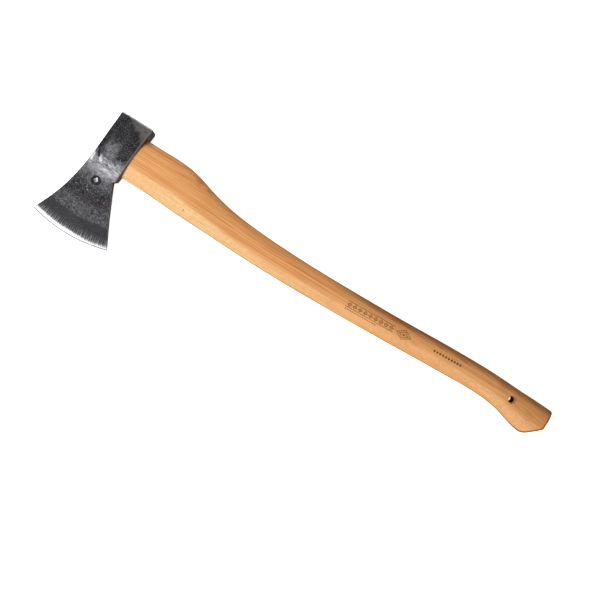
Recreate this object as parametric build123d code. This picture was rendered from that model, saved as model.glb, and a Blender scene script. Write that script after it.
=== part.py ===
from build123d import *
import math
import os

# Felling axe, in millimetres, lying on its cheek.
# X runs along the haft, from the head to the butt. Y points to the poll, away from the cutting edge.
# Z is the thickness, and the axe is symmetric about its mid-plane.
# It is drawn about a point in the mouth of the eye, with the mid-plane at Z = 0. At the end everything
# moves so that the origin is under the middle of the axe, at the level that it lies on.

# Head, side view
edge_radius = 236.0
edge_centre = (-54.0, 77.0)
toe_angle = 14.9
heel_angle = 17.5
poll_front = (-71.9, 45.0)
poll_rear = (-17.2, 45.0)
brow = (-77.2, -28.0)
top_curve = [(-81.2, -52.0), (-86.4, -76.0), (-93.1, -101.0), (-102.4, -125.0)]
lug_tip = (-25.4, -51.2)
notch = (-30.0, -55.0)
heel_curve = [(-17.1, -82.0), (-3.2, -110.5)]
poll_front_round = 3.0
poll_rear_round = 5.5
lug_round = 1.5
notch_round = 2.0

# Head, half thickness against distance from the centre of the cutting arc
cheek_half = 16.5
flat_reach = 66.0
eye_front_reach = 104.0
eye_front_half = 14.0
waist_curve = [(118.0, 12.0), (130.0, 9.5), (143.0, 7.3), (170.0, 5.2), (200.0, 3.6)]
bevel_reach = 228.5
bevel_half = 1.9
edge_half = 0.15
poll_chamfer = 2.6

# Eye: an egg-shaped hole with a narrow waist, as (position, centre, half depth, half width)
eye_mouth = (-12.0, -7.8, 34.2, 12.7)
eye_waist = (-46.0, -7.5, 32.4, 11.2)
eye_top = (-82.0, -7.5, 34.0, 12.8)
eye_fullness = 0.22
tongue_proud = 0.4

# Haft stations, as (position, poll side, edge side, thickness, fullness)
stations = [
    (-34.0, 27.4, -41.6, 27.2, 0.20),
    (-12.0, 27.6, -41.8, 27.5, 0.19),
    (10.0, 27.7, -42.1, 27.8, 0.18),
    (45.0, 27.6, -43.4, 28.4, 0.14),
    (65.0, 25.6, -44.4, 28.6, 0.11),
    (85.0, 21.0, -45.2, 28.6, 0.08),
    (110.0, 13.6, -45.6, 28.2, 0.05),
    (145.0, 5.9, -46.5, 27.6, 0.02),
    (200.0, 0.4, -47.6, 26.8, 0.0),
    (270.0, -2.0, -47.4, 26.2, 0.0),
    (350.0, -1.5, -45.0, 25.8, 0.0),
    (450.0, 1.3, -40.8, 25.6, 0.0),
    (550.0, 5.8, -35.8, 25.8, 0.0),
    (610.0, 7.0, -34.0, 26.6, 0.0),
    (645.0, 6.1, -37.4, 28.2, 0.0),
    (668.0, 5.2, -43.6, 29.8, 0.0),
    (690.0, 4.9, -49.3, 30.8, 0.0),
    (735.0, 3.4, -54.2, 31.0, 0.0),
]

# Butt, side view: a square end, a slanted lower corner and a rounded knob
butt_top = (724.6, 0.0)
butt_corner = (723.2, -27.3)
knob_tip = (698.3, -51.1)
knob_flank = (640.0, -43.7)
butt_corner_round = 3.0
knob_round = 20.0
butt_rim_round = 3.0

# Lanyard hole
hole_centre = (658.0, -13.8)
hole_radius = 4.5
hole_mouth_round = 1.9

# Wooden wedge, driven into the tongue along the long axis of the eye
wedge_depth = 44.0
wedge_thickness = 7.4
wedge_tip = 1.6

# Steel ring wedge, driven across the wooden wedge, with its place counted from the middle of the head's top
ring_radius = 8.5
ring_wall = 2.4
ring_tip_wall = 0.6
ring_depth = 15.0
ring_from_middle = 13.0

# Drawing aids: how finely the haft is drawn, how far cutting shapes reach past what they cut, and how near
# an edge lies to the feature that it belongs to
section_points = 20
section_spacing = 24.0
clear_above = 60.0
clear_beside = 100.0
past_cheeks = 2 * cheek_half
beyond = 1000.0
edge_margin = 1.0


def polar(radius, angle):
    """Point on a circle about the centre of the cutting arc, with the angle from -Y towards +X."""
    turn = math.radians(angle)
    return (edge_centre[0] + radius * math.sin(turn), edge_centre[1] - radius * math.cos(turn))


def polygon(*corners):
    """Flat face with straight sides."""
    return Face(Wire(Polyline(*corners, close=True)))


def egg(position, centre, half_depth, half_width, fullness):
    """Oval section across X. A positive fullness makes it wider on the poll side."""
    outline = []
    for step in range(section_points):
        angle = 2 * math.pi * step / section_points
        y = centre + half_depth * math.cos(angle)
        z = half_width * (1 + fullness * math.cos(angle)) * math.sin(angle)
        outline.append(Vector(position, y, z))
    return Face(Wire(Edge.make_spline(outline, periodic=True)))


def station_at(position):
    """Haft station between the listed ones: a cubic whose slope at each station is the mean slope beside it."""
    last = len(stations) - 2
    index = min(max(sum(position >= station[0] for station in stations) - 1, 0), last)

    def slope(first, column):
        run = stations[first + 1][0] - stations[first][0]
        return (stations[first + 1][column] - stations[first][column]) / run

    start, end = stations[index], stations[index + 1]
    run = end[0] - start[0]
    t = (position - start[0]) / run
    row = [position]
    for column in range(1, len(start)):
        here = slope(index, column)
        slope_in = (slope(max(index - 1, 0), column) + here) / 2
        slope_out = (slope(min(index + 1, last), column) + here) / 2
        row.append(
            (2 * t**3 - 3 * t**2 + 1) * start[column] + (t**3 - 2 * t**2 + t) * run * slope_in
            + (3 * t**2 - 2 * t**3) * end[column] + (t**3 - t**2) * run * slope_out
        )
    return row


def round_corner(face, place, radius):
    """Round the corner of a face that lies nearest to a place."""
    nearest = face.vertices().sort_by_distance((*place, 0))[0]
    return face.fillet_2d(radius, [nearest])


def half_space(plane):
    """Everything on the side of a plane that its normal points to."""
    return plane * Box(beyond, beyond, beyond, align=(Align.CENTER, Align.CENTER, Align.MIN))


def plane_along(start, end, lift=0.0):
    """Plane through two places in the side view, facing left of the way from start to end, moved by lift."""
    length = math.dist(start, end)
    facing = Vector((start[1] - end[1]) / length, (end[0] - start[0]) / length, 0)
    middle = Vector((start[0] + end[0]) / 2, (start[1] + end[1]) / 2, 0)
    return Plane(origin=middle + facing * lift, x_dir=(0, 0, 1), z_dir=facing)


def underside_plane():
    """Plane of the head's underside, facing the butt."""
    return plane_along(poll_rear, lug_tip)


def top_plane(lift):
    """Plane of the head's top, facing away from the butt."""
    return plane_along(brow, poll_front, lift)


def head_outline():
    """Side view of the head."""
    toe = polar(edge_radius, -toe_angle)
    heel = polar(edge_radius, heel_angle)
    face = Face(Wire([
        Line(poll_front, poll_rear),
        Line(poll_rear, lug_tip),
        Line(lug_tip, notch),
        Spline(notch, *heel_curve, heel),
        ThreePointArc(heel, polar(edge_radius, 0), toe),
        Spline(toe, *reversed(top_curve), brow),
        Line(brow, poll_front),
    ]))
    face = round_corner(face, poll_front, poll_front_round)
    face = round_corner(face, poll_rear, poll_rear_round)
    face = round_corner(face, lug_tip, lug_round)
    return round_corner(face, notch, notch_round)


def cheek_lines(side):
    """One side of the head's thickness profile, from the centre of the cutting arc to the edge."""
    return [
        Line((0, side * cheek_half), (flat_reach, side * cheek_half)),
        Line((flat_reach, side * cheek_half), (eye_front_reach, side * eye_front_half)),
        Spline(
            (eye_front_reach, side * eye_front_half),
            *[(reach, side * half) for reach, half in waist_curve],
            (bevel_reach, side * bevel_half),
        ),
        Line((bevel_reach, side * bevel_half), (edge_radius, side * edge_half)),
    ]


def thickness_solid():
    """Solid of revolution about the centre of the cutting arc: flat cheeks, waist, blade and bevel."""
    axis_line = Line((0, -cheek_half), (0, cheek_half))
    edge_line = Line((edge_radius, -edge_half), (edge_radius, edge_half))
    profile = Face(Wire([axis_line, edge_line, *cheek_lines(1), *cheek_lines(-1)]))
    across = Plane(origin=(*edge_centre, 0), x_dir=(1, 0, 0), z_dir=(0, -1, 0))
    return revolve(across * profile, Axis((*edge_centre, 0), (0, 0, 1)), 360)


def poll_profile():
    """Bar along X whose corners beside the poll face are chamfered, to break the rim of the poll."""
    shoulder = poll_front[1] - poll_chamfer
    profile = polygon(
        (-beyond, -cheek_half), (shoulder, -cheek_half), (poll_front[1], -cheek_half + poll_chamfer),
        (poll_front[1], cheek_half - poll_chamfer), (shoulder, cheek_half), (-beyond, cheek_half),
    )
    return extrude(Plane.YZ * profile, beyond, both=True)


def eye_space():
    """Space inside the eye, drawn past both ends of it."""
    return loft([egg(*section, eye_fullness) for section in (eye_mouth, eye_waist, eye_top)])


def axe_head():
    """One steel forging."""
    blank = extrude(head_outline(), past_cheeks, both=True) & thickness_solid() & poll_profile()
    return blank - eye_space()


def butt_trim():
    """Side view of everything that the butt keeps, as a slab."""
    face = polygon(
        (-clear_beside, clear_above), (butt_top[0], clear_above), butt_top, butt_corner, knob_tip,
        knob_flank, (knob_flank[0], -clear_beside), (-clear_beside, -clear_beside),
    )
    face = round_corner(face, knob_tip, knob_round)
    face = round_corner(face, butt_corner, butt_corner_round)
    return extrude(face, past_cheeks, both=True)


def off_middle(edges):
    """The edges whose middle lies off the axe's mid-plane."""
    return [edge for edge in edges if abs(edge.center().Z) > edge_margin]


def haft_grip():
    """Curved handle from the head's underside to the butt, with its lanyard hole."""
    reach = stations[-1][0] - stations[0][0]
    count = round(reach / section_spacing)
    sections = []
    for step in range(count + 1):
        position, poll_side, edge_side, thickness, fullness = station_at(stations[0][0] + reach * step / count)
        middle = (poll_side + edge_side) / 2
        half_depth = (poll_side - edge_side) / 2
        sections.append(egg(position, middle, half_depth, thickness / 2, fullness))
    grip = loft(sections) & half_space(underside_plane()) & butt_trim()
    rim = [edge for edge in off_middle(grip.edges()) if edge.center().X > knob_tip[0]]
    grip = fillet(rim, butt_rim_round)
    grip = grip - Pos(*hole_centre, 0) * Cylinder(hole_radius, 2 * past_cheeks)
    mouths = []
    for edge in off_middle(grip.edges()):
        middle = edge.center()
        if math.dist((middle.X, middle.Y), hole_centre) < hole_radius + edge_margin:
            mouths.append(edge)
    return fillet(mouths, hole_mouth_round)


def haft_tongue():
    """The part of the haft that fills the eye and stands a little proud of the head's top."""
    return (eye_space() - half_space(top_plane(tongue_proud))) - half_space(underside_plane())


def wedge_plate():
    """Tapered plate along the long axis of the eye, thick at the head's top."""
    top = top_plane(tongue_proud)
    profile = polygon(
        (-wedge_thickness / 2, 0), (wedge_thickness / 2, 0),
        (wedge_tip / 2, -wedge_depth), (-wedge_tip / 2, -wedge_depth),
    )
    across = Plane(origin=top.origin, x_dir=top.x_dir, z_dir=top.x_dir.cross(top.z_dir))
    return extrude(across * profile, clear_beside, both=True)


def ring_wedge():
    """Ring that narrows to a cutting edge, driven flush with the end of the tongue."""
    profile = polygon(
        (ring_radius, 0), (ring_radius - ring_wall, 0),
        (ring_radius - ring_tip_wall, -ring_depth), (ring_radius, -ring_depth),
    )
    top = top_plane(tongue_proud)
    centre = top.origin + top.x_dir.cross(top.z_dir) * ring_from_middle
    seat = Plane(origin=centre, x_dir=top.x_dir, z_dir=top.z_dir)
    return seat * revolve(Plane.XZ * profile, Axis.Z, 360)


def axe():
    """The four pieces, cut to fit one another line to line."""
    tongue = haft_tongue()
    ring = ring_wedge()
    wedge = (wedge_plate() & tongue) - ring
    return {
        "axe_head": axe_head(),
        "haft": (haft_grip() + tongue) - wedge - ring,
        "wood_wedge": wedge,
        "ring_wedge": ring,
    }


pieces = axe()
whole = Compound([solid for piece in pieces.values() for solid in piece.solids()]).bounding_box()
home = Pos(-whole.center().X, -whole.center().Y, -whole.min.Z)
os.makedirs("parts", exist_ok=True)
for name, piece in pieces.items():
    export_step(home * piece, f"parts/{name}.step")
    print(name, "volume", round(piece.volume), "valid", piece.is_valid, "solids", len(piece.solids()))
print("origin at", round(whole.center().X, 3), round(whole.center().Y, 3), round(whole.min.Z, 3))
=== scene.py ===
import math

import bmesh
import bpy
import numpy as np
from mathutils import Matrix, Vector, noise


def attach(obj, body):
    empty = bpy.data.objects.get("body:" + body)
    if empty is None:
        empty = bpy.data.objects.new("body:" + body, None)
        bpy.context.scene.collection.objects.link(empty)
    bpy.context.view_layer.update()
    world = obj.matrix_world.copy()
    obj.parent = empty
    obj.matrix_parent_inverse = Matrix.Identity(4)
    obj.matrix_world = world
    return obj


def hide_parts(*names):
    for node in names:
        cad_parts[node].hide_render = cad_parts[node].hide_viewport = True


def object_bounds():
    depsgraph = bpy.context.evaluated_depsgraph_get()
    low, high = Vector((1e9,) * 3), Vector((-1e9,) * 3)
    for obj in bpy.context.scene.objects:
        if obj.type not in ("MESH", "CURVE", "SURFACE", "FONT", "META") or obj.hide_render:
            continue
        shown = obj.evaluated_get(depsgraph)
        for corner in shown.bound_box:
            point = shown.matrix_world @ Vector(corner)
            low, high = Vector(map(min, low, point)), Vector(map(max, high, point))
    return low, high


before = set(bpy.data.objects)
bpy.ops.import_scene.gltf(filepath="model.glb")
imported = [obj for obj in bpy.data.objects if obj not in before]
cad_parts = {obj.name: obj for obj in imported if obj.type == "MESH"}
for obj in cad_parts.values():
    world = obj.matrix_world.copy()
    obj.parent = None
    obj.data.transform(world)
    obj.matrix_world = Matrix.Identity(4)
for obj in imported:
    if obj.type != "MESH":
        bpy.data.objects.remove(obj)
cad_low, cad_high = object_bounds()

# -------- dimensions
# Shapes are worked out in millimetres about a point in the mouth of the eye, with X along the haft to the
# butt, Y to the poll and Z through the thickness. place() turns that into the frame's metres.
MM = 0.001
METRE = 1000.0

# Head, side view
EDGE_RADIUS = 236.0
EDGE_CENTRE = np.array([-54.0, 77.0])
TOE_ANGLE = math.radians(-14.9)
HEEL_ANGLE = math.radians(17.5)
POLL_Y = 45.0
POLL_FRONT = (-71.9, POLL_Y)
BROW = (-77.2, -28.0)
FRONT_CURVE = [(-81.2, -52.0), (-86.4, -76.0), (-93.1, -101.0), (-102.4, -125.0)]
POLL_REAR = (-17.2, POLL_Y)
LUG_TIP = (-25.4, -51.2)
NOTCH = (-30.0, -55.0)
HEEL_CURVE = [(-17.1, -82.0), (-3.2, -110.5)]
POLL_FRONT_ROUND = 3.2
POLL_REAR_ROUND = 5.5
POLL_RIM_ROUND = 2.8
CHEEK_RIM_ROUND = 1.3

# How far the head's underside and its top lean along X for each step towards the poll
UNDER_SLOPE = (POLL_REAR[0] - LUG_TIP[0]) / (POLL_REAR[1] - LUG_TIP[1])
TOP_SLOPE = (POLL_FRONT[0] - BROW[0]) / (POLL_FRONT[1] - BROW[1])

# Head, half thickness against reach, the distance from the centre of the cutting arc
CHEEK_HALF = 16.5
BEVEL_REACH = 228.5
BEVEL_HALF = 1.9
EDGE_HALF = 0.15
THICKNESS = [
    (60.0, CHEEK_HALF), (66.0, CHEEK_HALF), (104.0, 14.0), (118.0, 12.0), (130.0, 9.5),
    (143.0, 7.3), (170.0, 5.2), (200.0, 3.6), (BEVEL_REACH, BEVEL_HALF),
]
SMOOTH_BAND = (206.0, 220.0)
# From this reach on, both sides of the head only lead away from the centre of the cutting arc
OUTWARD_REACH = 100.0

# The point in the eye's mouth in the frame's metres, from the CAD model's toe, poll face and cheek
TOE_X = EDGE_CENTRE[0] + EDGE_RADIUS * math.sin(TOE_ANGLE)
ORIGIN = np.array([cad_low.x - TOE_X * MM, cad_high.y - POLL_Y * MM, cad_low.z + CHEEK_HALF * MM])
CAD_BOX = [(np.array(corner) - ORIGIN) / MM for corner in (cad_low, cad_high)]
PROUD_LIMIT = 0.4

# Marks on the near cheek
STAMP_CENTRE = (-53.1, -65.3)
STAMP_RADIUS = 8.0
STAMP_DEPTH = 0.7
STAMP_LOZENGE = 4.6
FRONT_DENT = (-71.0, -24.0)
POLL_SPOT = (-25.0, 36.5)

# Eye, as (position, centre, half depth, half width)
EYE = [(-12.0, -7.8, 34.2, 12.7), (-46.0, -7.5, 32.4, 11.2), (-82.0, -7.5, 34.0, 12.8)]
EYE_FULLNESS = 0.22
TONGUE_PROUD = 0.4

# Haft stations, as (position, poll side, edge side, thickness, fullness)
STATIONS = [
    (-34.0, 27.4, -41.6, 27.2, 0.20), (-12.0, 27.6, -41.8, 27.5, 0.19), (10.0, 27.7, -42.1, 27.8, 0.18),
    (45.0, 27.6, -43.4, 28.4, 0.14), (65.0, 25.6, -44.4, 28.6, 0.11), (85.0, 21.0, -45.2, 28.6, 0.08),
    (110.0, 13.6, -45.6, 28.2, 0.05), (145.0, 5.9, -46.5, 27.6, 0.02), (200.0, 0.4, -47.6, 26.8, 0.0),
    (270.0, -2.0, -47.4, 26.2, 0.0), (350.0, -1.5, -45.0, 25.8, 0.0), (450.0, 1.3, -40.8, 25.6, 0.0),
    (550.0, 5.8, -35.8, 25.8, 0.0), (610.0, 7.0, -34.0, 26.6, 0.0), (645.0, 6.1, -37.4, 28.2, 0.0),
    (668.0, 5.2, -43.6, 29.8, 0.0), (690.0, 4.9, -49.3, 30.8, 0.0), (735.0, 3.4, -54.2, 31.0, 0.0),
]
BUTT_TOP = (724.6, 0.0)
BUTT_CORNER = (723.2, -27.3)
KNOB_TIP = (698.3, -51.1)
KNOB_FLANK = (640.0, -43.7)
BUTT_CORNER_ROUND = 3.0
KNOB_ROUND = 20.0
BUTT_RIM_ROUND = 3.0
BUTT_START = 684.0
HOLE_CENTRE = (658.0, -13.8)
HOLE_RADIUS = 4.5
HOLE_MOUTH_ROUND = 1.9

# Wedges, and the cutters that make room for them in the tongue
WEDGE_DEPTH = 44.0
WEDGE_THICKNESS = 7.4
WEDGE_TIP = 1.6
WEDGE_HALF_LENGTH = 36.0
WEDGE_PROUD = 0.5
WEDGE_CLEARANCE = 0.1
RING_RADIUS = 8.5
RING_WALL = 2.4
RING_TIP_WALL = 0.6
RING_DEPTH = 15.0
RING_FROM_MIDDLE = 13.0
RING_PROUD = 0.25
KERF_HALF_LENGTH = 45.0
CUTTER_LIFT = 3.0
CUTTER_GAP = 0.02

# Mesh
SHARP_ANGLE = math.radians(40)
OVAL_POINTS = 96
OVAL_ROWS = 18


# -------- numbers
def place(points):
    """Millimetres about the eye's mouth to the frame's metres."""
    return np.asarray(points) * MM + ORIGIN


def smooth_curve(knots, values, at):
    """Cubic through the knots whose slope at each knot is the mean slope either side of it."""
    knots, values = np.asarray(knots, float), np.asarray(values, float)
    steps = np.diff(values, axis=0) / np.diff(knots).reshape((-1,) + (1,) * (values.ndim - 1))
    slopes = np.concatenate([steps[:1], (steps[1:] + steps[:-1]) / 2, steps[-1:]])
    at = np.clip(at, knots[0], knots[-1])
    i = np.clip(np.searchsorted(knots, at) - 1, 0, len(knots) - 2)
    width = knots[i + 1] - knots[i]
    t = (at - knots[i]) / width
    if values.ndim > 1:
        t, width = t[..., None], width[..., None]
    return (
        (2 * t**3 - 3 * t**2 + 1) * values[i] + (t**3 - 2 * t**2 + t) * width * slopes[i]
        + (-2 * t**3 + 3 * t**2) * values[i + 1] + (t**3 - t**2) * width * slopes[i + 1]
    )


def smoothstep(low, high, value):
    """0 below low and 1 above high, smooth between them."""
    t = np.clip((value - low) / (high - low), 0, 1)
    return t * t * (3 - 2 * t)


def noise_spots(points, size, seed):
    """Points as places in Blender's noise, where size becomes 1 and each seed has a region of its own."""
    shift = Vector((seed * 17.3, seed * 5.1, seed * 11.7))
    return [Vector(point) + shift for point in np.asarray(points) / size]


def lumps(points, size, seed, octaves=2):
    """Smooth noise of about -1 to 1 at points in millimetres, with features of the given size."""
    return np.array([noise.fractal(spot, 0.8, 2.0, octaves) for spot in noise_spots(points, size, seed)])


def hollows(points, size, seed):
    """Distance to the nearest of many scattered centres, as a share of their spacing."""
    return np.array([noise.voronoi(spot)[0][0] for spot in noise_spots(points, size, seed)])


def reach_of(points):
    """Distance from the centre of the cutting arc, in the side view."""
    return np.hypot(points[:, 0] - EDGE_CENTRE[0], points[:, 1] - EDGE_CENTRE[1])


def angle_of(points):
    """Angle about the centre of the cutting arc, from -Y towards +X."""
    return np.arctan2(points[:, 0] - EDGE_CENTRE[0], EDGE_CENTRE[1] - points[:, 1])


def on_edge_arc(angle):
    """Point of the cutting arc at an angle."""
    return EDGE_CENTRE + EDGE_RADIUS * np.array([math.sin(angle), -math.cos(angle)])


def quarter(depth, radius):
    """How far a round corner of that radius draws back at a depth from the face."""
    inside = np.clip(radius - depth, 0, radius)
    return radius - np.sqrt(radius**2 - inside**2)


# -------- meshes
def mesh_object(name, vertices, faces):
    """A closed mesh with its normals outward, smooth but for its sharp edges."""
    mesh = bpy.data.meshes.new(name)
    mesh.from_pydata(place(vertices).tolist(), [], [list(map(int, face)) for face in faces])
    shape = bmesh.new()
    shape.from_mesh(mesh)
    bmesh.ops.recalc_face_normals(shape, faces=shape.faces)
    shape.to_mesh(mesh)
    shape.free()
    mesh.shade_smooth()
    mesh.set_sharp_from_angle(angle=SHARP_ANGLE)
    piece = bpy.data.objects.new(name, mesh)
    bpy.context.scene.collection.objects.link(piece)
    return piece


def lofted(rings, cap_columns):
    """Vertices and faces of closed rings joined in a row, with a grid over each end.

    Each ring goes over cap_columns steps on the upper side, down one end, back along the lower side and up.
    """
    count, size = len(rings), len(rings[0])
    vertices = [point for ring in rings for point in ring]
    faces = []
    for r in range(count - 1):
        for s in range(size):
            a, b = r * size + s, r * size + (s + 1) % size
            faces.append((a, b, b + size, a + size))
    for start in (0, (count - 1) * size):
        grid = cap_grid(vertices, start, size, cap_columns)
        for row in range(len(grid) - 1):
            for column in range(cap_columns):
                near, far = grid[row], grid[row + 1]
                faces.append((near[column], far[column], far[column + 1], near[column + 1]))
    return np.array(vertices), faces


def cap_grid(vertices, start, size, columns):
    """Vertex numbers of a grid that fills the ring at start. Its inner points are added to the vertices."""
    rows = (size - 2 * columns) // 2
    ring = np.array(vertices[start:start + size])
    grid = np.zeros((rows + 1, columns + 1), int)
    grid[0] = start + np.arange(columns + 1)
    grid[rows] = start + size - rows - np.arange(columns + 1)
    grid[1:, 0] = start + size - np.arange(1, rows + 1)
    grid[:, columns] = start + columns + np.arange(rows + 1)
    corners = [ring[0], ring[columns], ring[size - rows], ring[columns + rows]]
    for row in range(1, rows):
        for column in range(1, columns):
            across, down = column / columns, row / rows
            sides = (1 - down) * ring[column] + down * ring[size - rows - column]
            ends = (1 - across) * ring[size - row] + across * ring[columns + row]
            flat = (
                (1 - down) * ((1 - across) * corners[0] + across * corners[1])
                + down * ((1 - across) * corners[2] + across * corners[3])
            )
            grid[row, column] = len(vertices)
            vertices.append(sides + ends - flat)
    return grid


def turned(name, profile, centre, right, up, axis, around=64):
    """A closed profile of (radius, height) points turned about an axis."""
    vertices, faces = [], []
    for step in range(around):
        turn = 2 * math.pi * step / around
        outward = math.cos(turn) * right + math.sin(turn) * up
        vertices += [centre + radius * outward + height * axis for radius, height in profile]
    size = len(profile)
    for step in range(around):
        for k in range(size):
            a, b = step * size + k, step * size + (k + 1) % size
            c, d = (a + size) % len(vertices), (b + size) % len(vertices)
            faces.append((a, b, d, c))
    return mesh_object(name, vertices, faces)


def cut(piece, cutter, operation="DIFFERENCE"):
    """Take the cutter's space out of a piece, or keep only what is inside it, and remove the cutter."""
    modifier = piece.modifiers.new("cut", "BOOLEAN")
    modifier.operation = operation
    modifier.solver = "EXACT"
    modifier.object = cutter
    evaluated = piece.evaluated_get(bpy.context.evaluated_depsgraph_get())
    mesh = bpy.data.meshes.new_from_object(evaluated)
    piece.modifiers.clear()
    piece.data = mesh
    mesh.set_sharp_from_angle(angle=SHARP_ANGLE)
    bpy.data.objects.remove(cutter)


def vertex_values(mesh, what):
    """A property of three numbers at each vertex, such as its place or its normal."""
    values = np.empty(len(mesh.vertices) * 3)
    mesh.vertices.foreach_get(what, values)
    return values.reshape(-1, 3)


def add_values(mesh, name, values):
    """Keep a number at each vertex under a name that a material can read."""
    attribute = mesh.attributes.new(name, "FLOAT", "POINT")
    attribute.data.foreach_set("value", np.asarray(values, np.float32))


def displace(piece, relief):
    """Move each vertex out by relief(points, normals), without leaving the CAD model's box by much."""
    mesh = piece.data
    normals = vertex_values(mesh, "normal")
    points = (vertex_values(mesh, "co") - ORIGIN) / MM
    amount = relief(points, normals)
    moved = np.clip(points + normals * amount[:, None], CAD_BOX[0], CAD_BOX[1] + PROUD_LIMIT)
    mesh.vertices.foreach_set("co", place(moved).ravel())
    mesh.update()
    return points, normals, amount


# -------- head
def cheek_height(points):
    """Half thickness of the head at points in the side view."""
    reach = reach_of(points)
    knots, halves = zip(*THICKNESS)
    blade = smooth_curve(knots, halves, reach)
    slope = (BEVEL_HALF - EDGE_HALF) / (EDGE_RADIUS - BEVEL_REACH)
    bevel = EDGE_HALF + (EDGE_RADIUS - reach) * slope
    return np.where(reach > BEVEL_REACH, bevel, blade)


def side_line(start, points, count):
    """Straight run from start to the first point, then a smooth curve through the points."""
    knots = np.concatenate([[0], np.cumsum(np.hypot(*np.diff(points, axis=0).T))])
    curve = smooth_curve(knots, points, np.linspace(0, knots[-1], count))
    run = np.linspace(0, 1, count)[:-1, None] * (points[0] - np.array(start)) + np.array(start)
    return np.vstack([run, curve])


def at_height(boundary, height):
    """Point of a boundary at a Y value."""
    order = np.argsort(boundary[:, 1])
    return np.array([np.interp(height, boundary[order, 1], boundary[order, 0]), height])


def at_reach(boundary, reach):
    """Point of a boundary at a distance from the centre of the cutting arc."""
    own = reach_of(boundary)
    first = np.argmax(own > OUTWARD_REACH)
    return np.array([np.interp(reach, own[first:], boundary[first:, k]) for k in (0, 1)])


def head_rings(columns):
    """Closed rings round the head, from the poll face to the cutting edge."""
    side_points = 400
    poll_rows, cheek_rows, blade_rows, bevel_rows = 10, 111, 145, 12
    front = side_line(POLL_FRONT, np.array([BROW, *FRONT_CURVE, on_edge_arc(TOE_ANGLE)]), side_points)
    heel_side = side_line(LUG_TIP, np.array([NOTCH, *HEEL_CURVE, on_edge_arc(HEEL_ANGLE)]), side_points)
    back = np.vstack([np.linspace(POLL_REAR, LUG_TIP, side_points // 2)[:-1], heel_side])
    across = np.linspace(0, 1, columns + 1)

    lug_reach = math.dist(LUG_TIP, EDGE_CENTRE)
    poll_band = 6.0
    poll_heights = POLL_Y - poll_band * (1 - np.cos(np.linspace(0, math.pi / 2, poll_rows + 1)))[:-1]
    cheek_heights = np.linspace(POLL_Y - poll_band, LUG_TIP[1], cheek_rows + 1)[:-1]
    front_end = at_reach(front, lug_reach)
    rings = []
    for height in np.concatenate([poll_heights, cheek_heights]):
        share = (POLL_Y - height) / (POLL_Y - LUG_TIP[1])
        start = at_height(front, POLL_Y + share * (front_end[1] - POLL_Y))
        end = at_height(back, height)
        start[0] += quarter(POLL_Y - height, POLL_FRONT_ROUND)
        end[0] -= quarter(POLL_Y - height, POLL_REAR_ROUND)
        line = start + (end - start) * across[:, None]
        bulge = smoothstep(0, 1, share) * math.dist(start, end) ** 2 / (8 * lug_reach)
        line[:, 1] -= bulge * 4 * across * (1 - across)
        rings.append(head_ring(line, POLL_Y - height))

    blade = np.linspace(lug_reach, BEVEL_REACH, blade_rows + 1)[:-1]
    bevel = np.linspace(BEVEL_REACH, EDGE_RADIUS, bevel_rows)
    for reach in np.concatenate([blade, bevel]):
        ends = angle_of(np.stack([at_reach(front, reach), at_reach(back, reach)]))
        angles = ends[0] + (ends[1] - ends[0]) * across
        line = EDGE_CENTRE + reach * np.stack([np.sin(angles), -np.cos(angles)], axis=1)
        rings.append(head_ring(line, POLL_Y))
    return rings


def head_ring(line, depth):
    """One closed ring: the line on the upper cheek, the back wall, the lower cheek and the front wall."""
    wall_steps, corner_steps = 8, 4
    most_of_half = 0.6
    height = cheek_height(line) - quarter(depth, POLL_RIM_ROUND)
    direction = (line[-1] - line[0]) / np.linalg.norm(line[-1] - line[0])
    rim = min(CHEEK_RIM_ROUND, most_of_half * min(height[0], height[-1]))
    inner = line + direction * (rim * (1 - 2 * np.linspace(0, 1, len(line))))[:, None]
    upper = [(x, y, z) for (x, y), z in zip(inner, height)]

    def wall(corner, half, outward):
        """Points round an end of the ring, from just past the upper cheek to the lower one."""
        corner_round = []
        for step in range(1, corner_steps + 1):
            turn = math.pi / 2 * step / corner_steps
            offset = corner - outward * rim * (1 - math.sin(turn))
            corner_round.append((*offset, half - rim + rim * math.cos(turn)))
        flat = [(*corner, (half - rim) * (1 - 2 * step / wall_steps)) for step in range(1, wall_steps)]
        return corner_round + flat + [(a, b, -c) for a, b, c in reversed(corner_round)]

    lower = [(x, y, -z) for x, y, z in reversed(upper)]
    back_wall = wall(line[-1], height[-1], direction)
    front_wall = [(a, b, -c) for a, b, c in wall(line[0], height[0], -direction)]
    return upper + back_wall + lower + front_wall


def distance_to(points, spot):
    """Distance from a place in the side view."""
    return np.hypot(points[:, 0] - spot[0], points[:, 1] - spot[1])


def head_relief(points, normals):
    """How far the hammer, the scale and the grindstone leave the skin from its plain form."""
    reach = reach_of(points)
    upper = smoothstep(0.5, 0.9, normals[:, 2])
    ground = smoothstep(SMOOTH_BAND[0] - 6, SMOOTH_BAND[0] + 4, reach)
    edge = smoothstep(BEVEL_REACH - 4, BEVEL_REACH - 0.5, reach)
    waves = 0.20 * lumps(points, size=27, seed=1)
    blows = 0.16 * (hollows(points, size=7.0, seed=2) - 0.55)
    scale = lumps(points, size=2.2, seed=4, octaves=3)
    pits = 0.04 * scale - 0.13 * smoothstep(0.15, 0.55, scale)
    cheek = smoothstep(0.3, 0.8, np.abs(normals[:, 2]))
    relief = (waves + (blows + pits) * (1 - 0.85 * ground)) * (1 - edge) * (0.35 + 0.65 * cheek)
    from_dent = distance_to(points, FRONT_DENT) + 1.6 * lumps(points, size=5.0, seed=8)
    dent = 0.8 * np.exp(-((from_dent / 3.4) ** 2))
    spot = 0.35 * (1 - smoothstep(1.2, 2.4, distance_to(points, POLL_SPOT)))
    return relief + upper * (stamp_relief(points) - dent - spot)


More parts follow.
